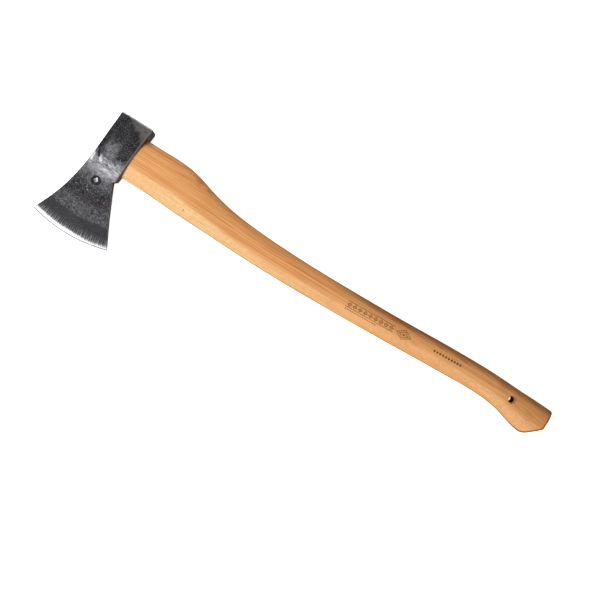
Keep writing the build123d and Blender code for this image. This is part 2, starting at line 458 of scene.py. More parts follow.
def stamp_relief(points):
    """A round stamp: a sunk field with a raised lozenge in it, and a little metal pushed up round it."""
    away = distance_to(points, STAMP_CENTRE)
    field = 1 - smoothstep(STAMP_RADIUS - 0.9, STAMP_RADIUS, away)
    lip = np.exp(-(((away - STAMP_RADIUS - 0.6) / 0.8) ** 2))
    offset = np.abs(points[:, :2] - np.array(STAMP_CENTRE))
    lozenge = 1 - smoothstep(STAMP_LOZENGE - 0.6, STAMP_LOZENGE + 0.4, offset[:, 0] + 0.8 * offset[:, 1])
    return -STAMP_DEPTH * field + 0.10 * lip + 0.9 * STAMP_DEPTH * lozenge


def eye_section(position):
    """Centre, half depth and half width of the eye at a position."""
    knots = [-section[0] for section in EYE]
    return smooth_curve(knots, [section[1:] for section in EYE], np.asarray(-position, float))


def eye_space(clearance=0.0):
    """The space inside the eye as a closed mesh, drawn in from the steel by a clearance."""
    past_steel = 6.0
    rows = 30
    rings = []
    for position in np.linspace(EYE[0][0] + past_steel, EYE[-1][0] - past_steel, rows):
        section = eye_section(position) - np.array([0.0, clearance, clearance])
        rings.append(egg_ring(position, *section, EYE_FULLNESS))
    vertices, faces = lofted(rings, OVAL_POINTS // 2 - OVAL_ROWS)
    return mesh_object("eye_space", vertices, faces)


def egg_ring(position, centre, half_depth, half_width, fullness, slope=0.0):
    """Oval ring across X, leaning by slope along Y, that starts half its rows up from its edge side."""
    turn = math.pi - 2 * math.pi * (np.arange(OVAL_POINTS) + OVAL_ROWS / 2) / OVAL_POINTS
    y = centre + half_depth * np.cos(turn)
    z = half_width * (1 + fullness * np.cos(turn)) * np.sin(turn)
    return np.stack([position + slope * y, y, z], axis=1)


def make_head():
    columns = 130
    vertices, faces = lofted(head_rings(columns), columns)
    piece = mesh_object("forged_head", vertices, faces)
    _, normals, relief = displace(piece, head_relief)
    flatness = np.abs(normals[:, 2])
    add_values(piece.data, "relief", relief)
    add_values(piece.data, "rim", smoothstep(0.25, 0.5, flatness) * (1 - smoothstep(0.8, 0.97, flatness)))
    add_values(piece.data, "wall", 1 - smoothstep(0.3, 0.7, flatness))
    cut(piece, eye_space())
    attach(piece, "root")
    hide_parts("axe_head")
    return piece


# -------- haft
def haft_section(position):
    """Centre, half depth, half width and fullness of the grip at a position."""
    table = np.array(STATIONS)
    row = smooth_curve(table[:, 0], table[:, 1:], np.asarray(position, float))
    poll_side, edge_side, thickness, fullness = np.moveaxis(row, -1, 0)
    return (poll_side + edge_side) / 2, (poll_side - edge_side) / 2, thickness / 2, fullness


def beyond_line(start, end, x, y):
    """How far points in the side view lie to the right of the way from start to end."""
    along = np.subtract(end, start) / math.dist(start, end)
    return (x - start[0]) * along[1] - (y - start[1]) * along[0]


def beyond_corner(before, corner, after, radius, x, y):
    """How far points in the side view lie outside two lines that meet at a corner rounded to a radius."""
    inward = np.subtract(corner, before) / math.dist(before, corner)
    onward = np.subtract(after, corner) / math.dist(corner, after)
    turn = math.atan2(inward[0] * onward[1] - inward[1] * onward[0], np.dot(inward, onward))
    middle = np.array([-inward[1], inward[0]]) * radius + corner - inward * radius * math.tan(turn / 2)
    east, north = x - middle[0], y - middle[1]
    in_corner = (east * inward[0] + north * inward[1] > 0) & (east * onward[0] + north * onward[1] < 0)
    flat = np.maximum(beyond_line(before, corner, x, y), beyond_line(corner, after, x, y))
    return np.where(in_corner, np.hypot(east, north) - radius, flat)


def rounded_max(a, b, radius):
    """The larger of two distances, rounded where the two surfaces meet."""
    outside = np.hypot(np.maximum(a + radius, 0), np.maximum(b + radius, 0))
    return np.minimum(np.maximum(a, b), -radius) + outside


def butt_outline(points):
    """How far points lie outside the butt's outline in the side view."""
    x, y = points[:, 0], points[:, 1]
    knob = beyond_corner(KNOB_FLANK, KNOB_TIP, BUTT_CORNER, KNOB_ROUND, x, y)
    end = beyond_corner(KNOB_TIP, BUTT_CORNER, BUTT_TOP, BUTT_CORNER_ROUND, x, y)
    return np.maximum(knob, end)


def butt_distance(points):
    """How far points lie outside the butt of the haft."""
    x, y, z = points.T
    centre, half_depth, half_width = haft_section(x)[:3]
    u = (y - centre) / half_depth
    v = z / half_width
    ratio = np.hypot(u, v)
    tube = (ratio - 1) * ratio / np.hypot(u / half_depth, v / half_width)
    return rounded_max(tube, butt_outline(points), BUTT_RIM_ROUND)


def butt_ring(angle):
    """Where rays that lean by an angle from the haft's line leave the butt, found by halving."""
    centre, half_depth, half_width = haft_section(BUTT_START)[:3]
    middle = np.array([BUTT_START, centre, 0.0])
    rays = egg_ring(0.0, 0.0, half_depth, half_width, 0.0) * math.sin(angle)
    rays[:, 0] = (BUTT_TOP[0] - BUTT_START) * math.cos(angle)
    halvings = 24
    low, high = np.full(OVAL_POINTS, 0.2), np.full(OVAL_POINTS, 2.0)
    for _ in range(halvings):
        share = (low + high) / 2
        outside = butt_distance(middle + share[:, None] * rays) > 0
        low, high = np.where(outside, low, share), np.where(outside, share, high)
    return middle + low[:, None] * rays


def haft_rings():
    """Closed rings from the top of the tongue to the end of the butt."""
    tongue_rows, grip_rows, butt_rows = 34, 419, 56
    tongue_end_gap = 0.6
    straight_from = 30.0
    last_lean = math.radians(18)
    under = POLL_REAR[0] - UNDER_SLOPE * POLL_REAR[1]
    top = POLL_FRONT[0] - TOP_SLOPE * POLL_FRONT[1] - TONGUE_PROUD
    rings = []
    for step in np.linspace(0, 1, tongue_rows):
        position = top + (under - tongue_end_gap - top) * step
        slope = TOP_SLOPE + (UNDER_SLOPE - TOP_SLOPE) * step
        rings.append(egg_ring(position, *eye_section(position), EYE_FULLNESS, slope))
    for position in np.linspace(under, BUTT_START, grip_rows + 1)[:-1]:
        slope = UNDER_SLOPE * (1 - smoothstep(under, straight_from, position))
        rings.append(egg_ring(position, *haft_section(position), slope))
    for angle in np.linspace(math.pi / 2, last_lean, butt_rows):
        rings.append(butt_ring(angle))
    return rings


def haft_relief(points, normals):
    """Long shallow waves that the drawknife and the belt leave in the wood."""
    lengthened = points * np.array([0.22, 1.0, 1.0])
    return 0.10 * lumps(lengthened, size=17, seed=6) * smoothstep(-10, 30, points[:, 0])


def hole_cutter():
    """The lanyard hole with its rounded mouths."""
    centre, half_depth, half_width = haft_section(HOLE_CENTRE[0])[:3]
    mouth = half_width * math.sqrt(1 - ((HOLE_CENTRE[1] - centre) / half_depth) ** 2) - HOLE_MOUTH_ROUND
    upper = [(HOLE_RADIUS, 0.0)]
    last_turn, turns = math.radians(78), 8
    for turn in np.linspace(0, last_turn, turns):
        radius = HOLE_RADIUS + HOLE_MOUTH_ROUND * (1 - math.cos(turn))
        upper.append((radius, mouth + HOLE_MOUTH_ROUND * math.sin(turn)))
    past_wood = CHEEK_HALF + 2
    flare, axle = 1.5, 0.01
    upper.append((upper[-1][0] + flare, past_wood))
    lower = [(radius, -height) for radius, height in reversed(upper)]
    profile = [(axle, -past_wood), *lower, *upper[1:], (axle, past_wood)]
    right, up, axis = np.eye(3)
    return turned("hole_cutter", profile, np.array([*HOLE_CENTRE, 0.0]), right, up, axis)


def head_top():
    """Middle of the tongue's end, its direction out of the head, and its direction to the poll."""
    start, end = np.array([*BROW, 0.0]), np.array([*POLL_FRONT, 0.0])
    along = (end - start) / np.linalg.norm(end - start)
    outward = np.array([-along[1], along[0], 0.0])
    return (start + end) / 2 + TONGUE_PROUD * outward, outward, along


def wedge_plate(name, half_length, lift, grow):
    """Tapered plate down the long axis of the eye, lifted above the tongue's end and thickened a little."""
    middle, outward, along = head_top()
    middle = middle + along * (eye_section(middle[0])[0] - middle[1]) / along[1]
    sideways = np.array([0.0, 0.0, 1.0])
    columns, rows, sections = 40, 6, 24
    outline = rectangle_ring(columns, rows)
    rings = []
    for share in np.linspace(0, 1, sections):
        half = (WEDGE_THICKNESS + (WEDGE_TIP - WEDGE_THICKNESS) * share) / 2 + grow
        base = middle + outward * (lift - (WEDGE_DEPTH + lift) * share)
        rings.append([base + along * a * half_length + sideways * b * half for a, b in outline])
    vertices, faces = lofted(rings, columns)
    return mesh_object(name, vertices, faces)


def rectangle_ring(columns, rows):
    """A closed ring of points round a square from -1 to 1."""
    top = [(2 * step / columns - 1, 1.0) for step in range(columns + 1)]
    right = [(1.0, 1 - 2 * step / rows) for step in range(1, rows)]
    return top + right + [(a, -b) for a, b in reversed(top)] + [(-a, -b) for a, b in right]


def ring_shape(name, lift, grow):
    """The ring wedge: a steel ring that narrows to a cutting edge."""
    middle, outward, along = head_top()
    outer, inner, lip = RING_RADIUS + grow, RING_RADIUS - RING_WALL - grow, 0.4
    profile = [
        (outer, lift - lip), (outer - 0.3 * lip, lift - 0.3 * lip), (outer - lip, lift),
        (inner + lip, lift), (inner + 0.3 * lip, lift - 0.3 * lip), (inner, lift - lip),
        (RING_RADIUS - RING_TIP_WALL - grow, -RING_DEPTH), (outer, -RING_DEPTH),
    ]
    sideways = np.array([0.0, 0.0, 1.0])
    return turned(name, profile, middle - along * RING_FROM_MIDDLE, along, sideways, outward, around=72)


def make_haft():
    vertices, faces = lofted(haft_rings(), OVAL_POINTS // 2 - OVAL_ROWS)
    piece = mesh_object("hickory_haft", vertices, faces)
    points, normals, _ = displace(piece, haft_relief)
    centre, half_depth = haft_section(points[:, 0])[:2]
    add_values(piece.data, "across", (points[:, 1] - centre) / half_depth)
    end_on = smoothstep(0.80, 0.96, np.abs(normals[:, 0]))
    add_values(piece.data, "edge_on", (1 - np.abs(normals[:, 2])) * (1 - end_on))
    add_values(piece.data, "end_on", end_on)
    add_values(piece.data, "inset", np.clip(-butt_outline(points), 0.0, 10.0))
    cut(piece, hole_cutter())
    cut(piece, wedge_plate("wedge_cutter", KERF_HALF_LENGTH, CUTTER_LIFT, CUTTER_GAP))
    cut(piece, ring_shape("ring_cutter", CUTTER_LIFT, CUTTER_GAP))
    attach(piece, "root")
    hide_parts("haft")
    return piece


def make_wedges():
    wooden = wedge_plate("driven_wedge", WEDGE_HALF_LENGTH, WEDGE_PROUD, 0.0)
    cut(wooden, eye_space(WEDGE_CLEARANCE), "INTERSECT")
    cut(wooden, ring_shape("ring_cutter", CUTTER_LIFT, CUTTER_GAP))
    steel = ring_shape("driven_ring", RING_PROUD, 0.0)
    for piece, node, slot in ((wooden, "wood_wedge", "wedge_wood"), (steel, "ring_wedge", "wedge_steel")):
        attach(piece, "root")
        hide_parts(node)
    return wooden, steel


# -------- materials
def feed(socket, value):
    """Give a node's input a field, a number or a colour."""
    if isinstance(value, Field):
        value.tree.links.new(value.socket, socket)
    else:
        socket.default_value = value


def combine(tree, operation, *values):
    """A field worked out from fields and numbers by one operation."""
    node = tree.nodes.new("ShaderNodeMath")
    node.operation = operation
    for socket, value in zip(node.inputs, values):
        feed(socket, value)
    return Field(tree, node.outputs[0])


class Field:
    """A number that varies over a surface, made from nodes, and used in ordinary arithmetic."""

    def __init__(self, tree, socket):
        self.tree = tree
        self.socket = socket

    def __add__(self, other):
        return combine(self.tree, "ADD", self, other)

    def __radd__(self, other):
        return combine(self.tree, "ADD", other, self)

    def __sub__(self, other):
        return combine(self.tree, "SUBTRACT", self, other)

    def __rsub__(self, other):
        return combine(self.tree, "SUBTRACT", other, self)

    def __mul__(self, other):
        return combine(self.tree, "MULTIPLY", self, other)

    def __rmul__(self, other):
        return combine(self.tree, "MULTIPLY", other, self)

    def __truediv__(self, other):
        return combine(self.tree, "DIVIDE", self, other)

    def __pow__(self, other):
        return combine(self.tree, "POWER", self, other)

    def __abs__(self):
        return combine(self.tree, "ABSOLUTE", self)

    def fraction(self):
        return combine(self.tree, "FRACT", self)

    def sine(self):
        return combine(self.tree, "SINE", self)

    def root(self):
        return combine(self.tree, "SQRT", self)

    def angle_with(self, other):
        return combine(self.tree, "ARCTAN2", self, other)

    def higher(self, other):
        return combine(self.tree, "MAXIMUM", self, other)

    def step(self, low, high):
        """0 below low and 1 above high, smooth between them. With low above high it falls instead."""
        node = self.tree.nodes.new("ShaderNodeMapRange")
        node.interpolation_type = "SMOOTHSTEP"
        flipped = low > high
        feed(node.inputs["Value"], self)
        node.inputs["From Min"].default_value = min(low, high)
        node.inputs["From Max"].default_value = max(low, high)
        node.inputs["To Min"].default_value = 1.0 if flipped else 0.0
        node.inputs["To Max"].default_value = 0.0 if flipped else 1.0
        return Field(self.tree, node.outputs[0])

    def band(self, low, high, soft):
        """1 between low and high, falling to 0 within soft outside them."""
        return self.step(low - soft, low) * self.step(high + soft, high)


class Shader:
    """A material being built from nodes. Its x, y and z are a point's place in millimetres.

    Its colour starts as a mix, and paint() lays more colours over it one by one.
    """

    def __init__(self, name):
        self.material = bpy.data.materials.new(name)
        self.material.use_nodes = True
        self.tree = self.material.node_tree
        self.tree.nodes.clear()
        output = self.tree.nodes.new("ShaderNodeOutputMaterial")
        self.surface = self.tree.nodes.new("ShaderNodeBsdfPrincipled")
        self.tree.links.new(self.surface.outputs[0], output.inputs["Surface"])
        coordinates = self.tree.nodes.new("ShaderNodeTexCoord")
        separate = self.tree.nodes.new("ShaderNodeSeparateXYZ")
        self.tree.links.new(coordinates.outputs["Object"], separate.inputs[0])
        self.x, self.y, self.z = (
            (Field(self.tree, socket) - float(home)) * METRE
            for socket, home in zip(separate.outputs, ORIGIN)
        )
        self.colour = None

    def value(self, name):
        """A number kept at each point of the mesh."""
        node = self.tree.nodes.new("ShaderNodeAttribute")
        node.attribute_name = name
        return Field(self.tree, node.outputs["Fac"])

    def vector(self, x, y, z):
        node = self.tree.nodes.new("ShaderNodeCombineXYZ")
        for socket, value in zip(node.inputs, (x, y, z)):
            feed(socket, value)
        return Field(self.tree, node.outputs[0])

    def noise(self, size, detail=3.0, roughness=0.5, seed=0.0, axes=None):
        """Noise of 0 to 1 with features of that size in millimetres, or of a size along each axis."""
        sizes = size if isinstance(size, tuple) else (size, size, size)
        axes = axes or (self.x, self.y, self.z)
        node = self.tree.nodes.new("ShaderNodeTexNoise")
        feed(node.inputs["Vector"], self.vector(*(axis / one + seed for axis, one in zip(axes, sizes))))
        node.inputs["Scale"].default_value = 1.0
        node.inputs["Detail"].default_value = detail
        node.inputs["Roughness"].default_value = roughness
        return Field(self.tree, node.outputs[0])

    def mix(self, factor, a, b):
        """Colour a where the factor is 0 and colour b where it is 1."""
        node = self.tree.nodes.new("ShaderNodeMix")
        node.data_type = "RGBA"
        feed(node.inputs["Factor"], factor)
        colours = [socket for socket in node.inputs if socket.type == "RGBA"]
        for socket, value in zip(colours, (a, b)):
            feed(socket, value if isinstance(value, Field) else (*value, 1.0))
        return Field(self.tree, [socket for socket in node.outputs if socket.type == "RGBA"][0])

    def paint(self, share, colour):
        """Lay a colour over what is there, by a share of 0 to 1."""
        self.colour = self.mix(share, self.colour, colour)

    def bump(self, height):
        """Normal of a surface raised by a height in millimetres."""
        node = self.tree.nodes.new("ShaderNodeBump")
        feed(node.inputs["Height"], height)
        node.inputs["Strength"].default_value = 1.0
        node.inputs["Distance"].default_value = MM
        return Field(self.tree, node.outputs[0])

    def set(self, **sockets):
        """Give the surface its values, by the names of its inputs, and return the finished material."""
        for name, value in sockets.items():
            if isinstance(value, tuple):
                value = (*value, 1.0)
            feed(self.surface.inputs[name.replace("_", " ")], value)
        return self.material

    def near(self, spot, radius, soft):
        """1 within a radius of a place in the side view, falling to 0 within soft outside it."""
        away = ((self.x - spot[0]) ** 2.0 + (self.y - spot[1]) ** 2.0).root()
        return away.step(radius + soft, radius)


def mouth_line(s):
    """Where the head's underside lies along the haft, for each point's place towards the poll."""
    return POLL_REAR[0] + (s.y - POLL_REAR[1]) * UNDER_SLOPE


class HeadShader(Shader):
    """A shader for the head, with the fields that its layers share."""

    def __init__(self, name):
        super().__init__(name)
        east = self.x - float(EDGE_CENTRE[0])
        south = float(EDGE_CENTRE[1]) - self.y
        self.reach = (east * east + south * south).root()
        self.arc = east.angle_with(south) * EDGE_RADIUS
        self.into_head = mouth_line(self) - self.x
        self.relief, self.rim, self.wall = self.value("relief"), self.value("rim"), self.value("wall")
        self.cheek = 1.0 - self.wall
        self.clouds = self.noise(6.0, 3, 0.6, 11.0)
        self.grain = self.noise(1.7, 2, 0.6, 3.1)
        self.grit = self.noise(0.8, 2, 0.6, 7.7)
        self.smooth = self.reach.band(*SMOOTH_BAND, 7.0)
        self.rough = 1.0 - self.smooth * 0.75


def forge_scale(s):
    """Black scale with grey wearing through it, a pale haze across the blade and a smooth dark band."""
    patches = s.noise(17.0, 3, 0.6)
    s.colour = s.mix(patches.step(0.36, 0.62), (0.008, 0.008, 0.009), (0.026, 0.026, 0.029))
    s.paint(s.clouds.step(0.45, 0.70) * 0.5 * s.rough, (0.055, 0.055, 0.060))
    haze = s.reach.band(185.0, 199.0, 8.0) * s.clouds.step(0.22, 0.60)
    s.paint(haze * 0.48, (0.105, 0.105, 0.112))
    below_waist = s.reach.step(112.0, 126.0) * s.reach.step(166.0, 130.0)
    s.paint(below_waist * (0.35 + 0.65 * s.clouds.step(0.25, 0.60)) * 0.85, (0.105, 0.105, 0.112))
    s.paint(s.smooth * 0.8, (0.030, 0.029, 0.032))
    upper_cheek = s.reach.step(104.0, 84.0)
    specks = s.grain.step(0.52, 0.68) * s.rough * (1.0 - upper_cheek * 0.25)
    s.paint(specks * 0.46, (0.24, 0.24, 0.255))
    s.paint(s.grain.step(0.46, 0.36) * 0.6, (0.005, 0.005, 0.005))


def waist_highlights_and_shade(s):
    """Painted highlight across the wrinkled waist and on ragged crests, painted shade in the dent by the
    front rim, and a brassy fleck.
    """
    # Painted highlight: the waist's slope lightened where it would catch the key light.
    glow = s.x.band(-62.0, -50.0, 9.0) * s.y.band(-30.0, -8.0, 16.0)
    waist = (s.reach.step(98.0, 112.0) * s.reach.step(142.0, 114.0)).higher(glow * 0.55)
    waist = waist * (0.40 + 0.60 * s.clouds.step(0.30, 0.58)) * (0.70 + 0.30 * s.x.step(-72.0, -58.0))
    waist = waist * (1.0 - 0.35 * s.x.step(-50.0, -62.0) * s.y.step(-40.0, -46.0))
    wrinkles = s.noise((6.5, 1.6, 3.0), 4, 0.7, 1.7).step(0.40, 0.64)
    s.paint(waist * (0.22 + 0.45 * wrinkles), (0.50, 0.50, 0.53))

    ragged = (s.clouds - 0.5) * 9.0 + (s.grain - 0.5) * 6.0
    # Painted highlights: bright crests beside the dent and a line along the front rim.
    crest_line = s.x + 66.0 + (s.y + 28.0) * 0.55 + ragged
    crest_highlight = crest_line.band(-0.8, 0.8, 2.6) * s.y.band(-36.0, -30.0, 4.0) * 0.7
    front_rim_highlight = (s.x + 75.6 + ragged * 0.3).band(-0.8, 0.8, 1.6) * s.y.band(-40.0, -31.0, 4.0)
    s.paint(crest_highlight.higher(front_rim_highlight) * 0.45, (0.75, 0.75, 0.78))
    # Painted shade: the dent by the front rim darkened.
    gouge_line = s.x + 71.6 + (s.y + 22.0) * 0.38 + ragged * 0.5
    gouge_shade = gouge_line.band(-0.7, 0.7, 1.5) * s.y.band(-31.0, -16.0, 3.0)
    s.paint(gouge_shade * 0.92, (0.005, 0.005, 0.005))
    s.paint(s.near((-75.4, -46.5), 0.4, 0.8) * s.cheek, (0.50, 0.28, 0.07))


def stamped_marks(s):
    """The stamp's dark field and bright lozenge, and two faint ticks towards the blade."""
    field = s.near(STAMP_CENTRE, STAMP_RADIUS - 1.2, 1.2)
    s.paint(field * s.relief.step(-0.1, -0.5) * 0.9, (0.006, 0.006, 0.007))
    s.paint(field * s.relief.step(-0.25, 0.0) * 0.75, (0.70, 0.70, 0.72))
    ticks = s.near((-60.0, -81.0), 0.5, 1.0).higher(s.near((-57.6, -84.0), 0.5, 1.0))
    s.paint(ticks * 0.45, (0.40, 0.40, 0.42))


def worn_poll_and_rim_highlight(s):
    """A worn corner of the poll with a dark spot, a painted highlight along the eased rim beside the haft,
    and rust on the blade.
    """
    corner = s.y + (s.x + 53.0) * 0.63 + (s.clouds - 0.5) * 14.0
    s.paint(corner.step(34.0, 48.0) * (0.5 + s.grain) * 0.68 * s.cheek, (0.150, 0.136, 0.127))
    s.paint(s.near(POLL_SPOT, 0.8, 1.2) * 0.8, (0.02, 0.02, 0.02))
    # Painted highlight: a paler band along the eased rim beside the haft.
    eased_rim_highlight = s.into_head.band(0.6, 2.8, 0.9) * s.y.step(-52.0, -47.0) * s.cheek
    s.paint(eased_rim_highlight * 0.60, (0.130, 0.129, 0.134))
    rust = s.near((-47.0, -92.0), 5.0, 7.0).higher(s.near((-28.0, -93.0), 5.0, 8.0))
    s.paint(rust * s.noise(2.6, 2, 0.5, 9.0).step(0.55, 0.63) * 0.8, (0.042, 0.014, 0.012))


def head_walls(s):
    """Brown side walls, warmer by the heel, with a painted warm reflection and shade of the haft beside it,
    and rims worn and painted bright. Returns the worn rims with their painted sheen.
    """
    s.paint(s.wall * 0.75, (0.110, 0.092, 0.082))
    heel_wall = s.wall * s.y.step(-50.0, -58.0) * s.x.step(-40.0, -34.0)
    s.paint(heel_wall * 0.8, (0.150, 0.090, 0.040))
    beside_haft = s.y.step(-54.0, -48.0) * s.y.step(38.0, 30.0)
    back_side = s.x.step(-52.0, -46.0) * beside_haft
    # Painted reflection: the walls beside the haft warmed by the haft's colour.
    s.paint(s.wall * back_side * 0.75, (0.180, 0.085, 0.030))
    rubbed = s.noise(5.0, 3, 0.6, 2.2).step(0.28, 0.55) * (1.0 - back_side * 0.55)
    # Rims worn bright, and lightened further as a painted highlight where the rounding would catch light.
    wear_and_sheen = s.rim * rubbed * s.reach.step(BEVEL_REACH, BEVEL_REACH - 10.0)
    s.paint(wear_and_sheen * 0.85, (0.55, 0.55, 0.57))
    # Painted shade and haft reflection: a warm dark line along the cheek's edge by the haft.
    s.paint(s.into_head.band(-1.0, 1.2, 0.9) * beside_haft * 0.70, (0.210, 0.095, 0.035))
    return wear_and_sheen


def ground_bevel(s):
    """The bright bevel with grindstone streaks above it and a burr along the edge.

    Returns where the metal is ground, its scratches and the burr.
    """
    jitter = s.noise((3.0, 18.0, 18.0), 2, 0.6, 4.0, (s.arc, s.reach, s.z))
    streaks = ((s.arc / 0.53 + jitter * 9.0).sine() * 0.5 + jitter).step(0.25, 0.95)
    streaks = streaks * (s.reach + jitter * 6.0).step(BEVEL_REACH - 9.0, BEVEL_REACH + 2.0)
    s.paint(streaks * 0.62, (0.20, 0.20, 0.21))
    wander = (s.noise(7.0, 2, 0.5, 6.0) - 0.5) * 0.8
    narrowing = s.arc.step(0.0, 48.0) * 2.6
    ground = (s.reach + wander + streaks * 0.9 - narrowing).step(BEVEL_REACH - 2.6, BEVEL_REACH + 3.6)
    scratches = s.noise((0.5, 14.0, 14.0), 3, 0.6, 8.0, (s.arc, s.reach, s.z))
    polish = s.mix(scratches, (0.14, 0.14, 0.145), (0.24, 0.24, 0.245))
    burr = s.reach.step(EDGE_RADIUS - 2.0, EDGE_RADIUS - 1.3)
    s.paint(ground, s.mix(burr * 0.80, polish, (0.150, 0.150, 0.154)))
    return ground, scratches, burr


def forged_steel():
    s = HeadShader("forged_steel")
    forge_scale(s)
    waist_highlights_and_shade(s)
    stamped_marks(s)
    worn_poll_and_rim_highlight(s)
    wear_and_sheen = head_walls(s)
    ground, scratches, burr = ground_bevel(s)
    height = (s.grain * 0.22 + s.grit * 0.08) * s.rough * (1.0 - ground) + scratches * ground * 0.01
    roughness = 0.50 + (s.grit - 0.5) * 0.25 - ground * 0.18 - wear_and_sheen * 0.08 + burr * 0.3
    metallic = 0.85 + (ground - burr) * 0.15
    return s.set(Base_Color=s.colour, Metallic=metallic, Roughness=roughness, Normal=s.bump(height))


# Growth rings of the haft's wood, as cylinders about a line beside the haft, in millimetres
PITH = (-150.0, -75.0)
RING_SPACING = 3.3


def growth_rings(s):
    """Distance from the pith, in rings, with the wander that a real stem has."""
    sweep = ((s.x - 350.0).higher(0.0) / 100.0) ** 2.0 * 1.6
    bend = sweep + s.x.step(70.0, 230.0) * s.y.step(-30.0, 10.0) * 9.0
    y = s.y + bend + (s.noise((300.0, 60.0, 60.0), 2, 0.5, 1.0) - 0.5) * 8.0
    z = s.z + (s.noise((220.0, 50.0, 50.0), 2, 0.5, 5.0) - 0.5) * 8.0
    radius = ((y - PITH[0]) ** 2.0 + (z - PITH[1]) ** 2.0).root()
    uneven = (s.noise((420.0, 10.0, 10.0), 3, 0.6, 9.0) - 0.5) * 11.0
    return (radius + uneven) / RING_SPACING


class HaftShader(Shader):
    """A shader for the haft, with the fields that its layers share."""

    def __init__(self, name):
        super().__init__(name)
        self.across, self.end_on = self.value("across"), self.value("end_on")
        phase = growth_rings(self).fraction()
        self.porous = phase.step(0.35, 0.80) * phase.step(1.0, 0.90)
        self.fibre = self.noise((60.0, 1.7, 1.7), 3, 0.6)
        self.fine = self.noise((18.0, 0.7, 0.7), 3, 0.6, 2.0)
        self.pores = self.fine.step(0.58, 0.70) * (0.30 + self.porous * 0.70)


def wood_grain(s):
    """Cream wood on the edge side and brown on the poll side, partly sapwood and heartwood and partly
    painted highlight and shade, with rings, fibre, flecks and pores.
    """
    far = s.x.step(150.0, 480.0)
    # Poll side browner and edge side creamer: partly heartwood and sapwood, partly painted shade and
    # highlight.
    poll_heartwood_and_shade = ((s.across + 0.45 + (s.fibre - 0.5) * 0.25) / (0.23 + 0.42 * far)).step(0.0, 1.0)
    cream = s.mix(s.x.step(280.0, 470.0), (0.66, 0.455, 0.225), (0.77, 0.400, 0.175))
    cream = s.mix(far * s.across.band(-0.60, -0.25, 0.20) * 0.5, cream, (0.80, 0.46, 0.26))
    s.colour = s.mix(poll_heartwood_and_shade, cream, (0.53, 0.235, 0.076))
    # Darker towards the poll side: heartwood and painted shade.
    s.paint(s.across.step(0.1, 0.9) * 0.55, (0.53, 0.180, 0.046))
    s.paint(s.x.step(110.0, 280.0) * 0.24, (0.90, 0.390, 0.140))
    broad = s.noise((150.0, 18.0, 18.0), 2, 0.5, 8.0)
    s.paint(broad.step(0.35, 0.65) * 0.35, (0.54, 0.225, 0.072))
    s.paint(s.fibre.step(0.34, 0.66) * 0.42, (0.60, 0.345, 0.14))
    streak = s.noise((130.0, 2.6, 2.6), 3, 0.6, 12.0)
    s.paint(streak.step(0.50, 0.66) * (0.16 + 0.20 * poll_heartwood_and_shade), (0.42, 0.165, 0.048))
    s.paint(streak.step(0.46, 0.34) * 0.30, (0.66, 0.385, 0.160))
    strength = s.noise((260.0, 6.0, 6.0), 2, 0.5, 3.0).step(0.34, 0.66)
    s.paint(s.porous * (0.10 + 0.62 * strength) * (0.35 + 0.65 * poll_heartwood_and_shade), (0.36, 0.125, 0.034))
    mottle = s.noise((4.6, 1.9, 1.9), 3, 0.65, 4.0)
    s.paint(mottle.step(0.48, 0.62) * (1.0 - poll_heartwood_and_shade) * 0.60, (0.54, 0.255, 0.068))
    s.paint(s.pores * 0.42, (0.22, 0.085, 0.028))


def shaded_edges_and_end_grain(s):
    """Painted shade along the poll side, the edges and the knob's rim, painted shadow by the head, and
    darker end grain.
    """
    # Painted shade: the poll side darkened where it turns away from the light.
    shaded = s.across.step(0.40, 1.0) * s.x.step(300.0, 430.0) * (1.0 - s.x.step(540.0, 660.0) * 0.35)
    s.paint(shaded * 0.74, (0.16, 0.036, 0.004))
    # Painted shade along the edges, where the surface turns away.
    s.paint(s.value("edge_on").step(0.36, 0.70) * 0.75, (0.33, 0.120, 0.018))
    # Painted shade round the knob's rim.
    rim = s.value("inset").step(4.6, 1.2) * s.x.step(655.0, 670.0) * (1.0 - s.end_on)
    s.paint(rim * 0.85, (0.22, 0.065, 0.010))
    # Painted shadow where the haft meets the head.
    shade_by_head = (s.x - mouth_line(s)).band(-0.5, 0.8, 1.6)
    s.paint(shade_by_head * 0.75, (0.20, 0.095, 0.020))
    vessels = s.noise((3.0, 0.8, 0.8), 2, 0.5, 15.0).step(0.56, 0.64) * (0.35 + 0.65 * s.porous)
    s.paint(s.end_on * (0.30 + 0.55 * vessels), (0.20, 0.080, 0.024))
    blush = s.near((83.0, 15.0), 2.0, 7.0).higher(s.near((640.0, 3.0), 4.0, 12.0))
    s.paint(blush * 0.35, (0.24, 0.09, 0.03))
    pin_knot = s.near((84.0, -34.0), 0.7, 1.2) * s.z.step(0.0, 3.0)
    s.paint(pin_knot * 0.8, (0.30, 0.07, 0.03))


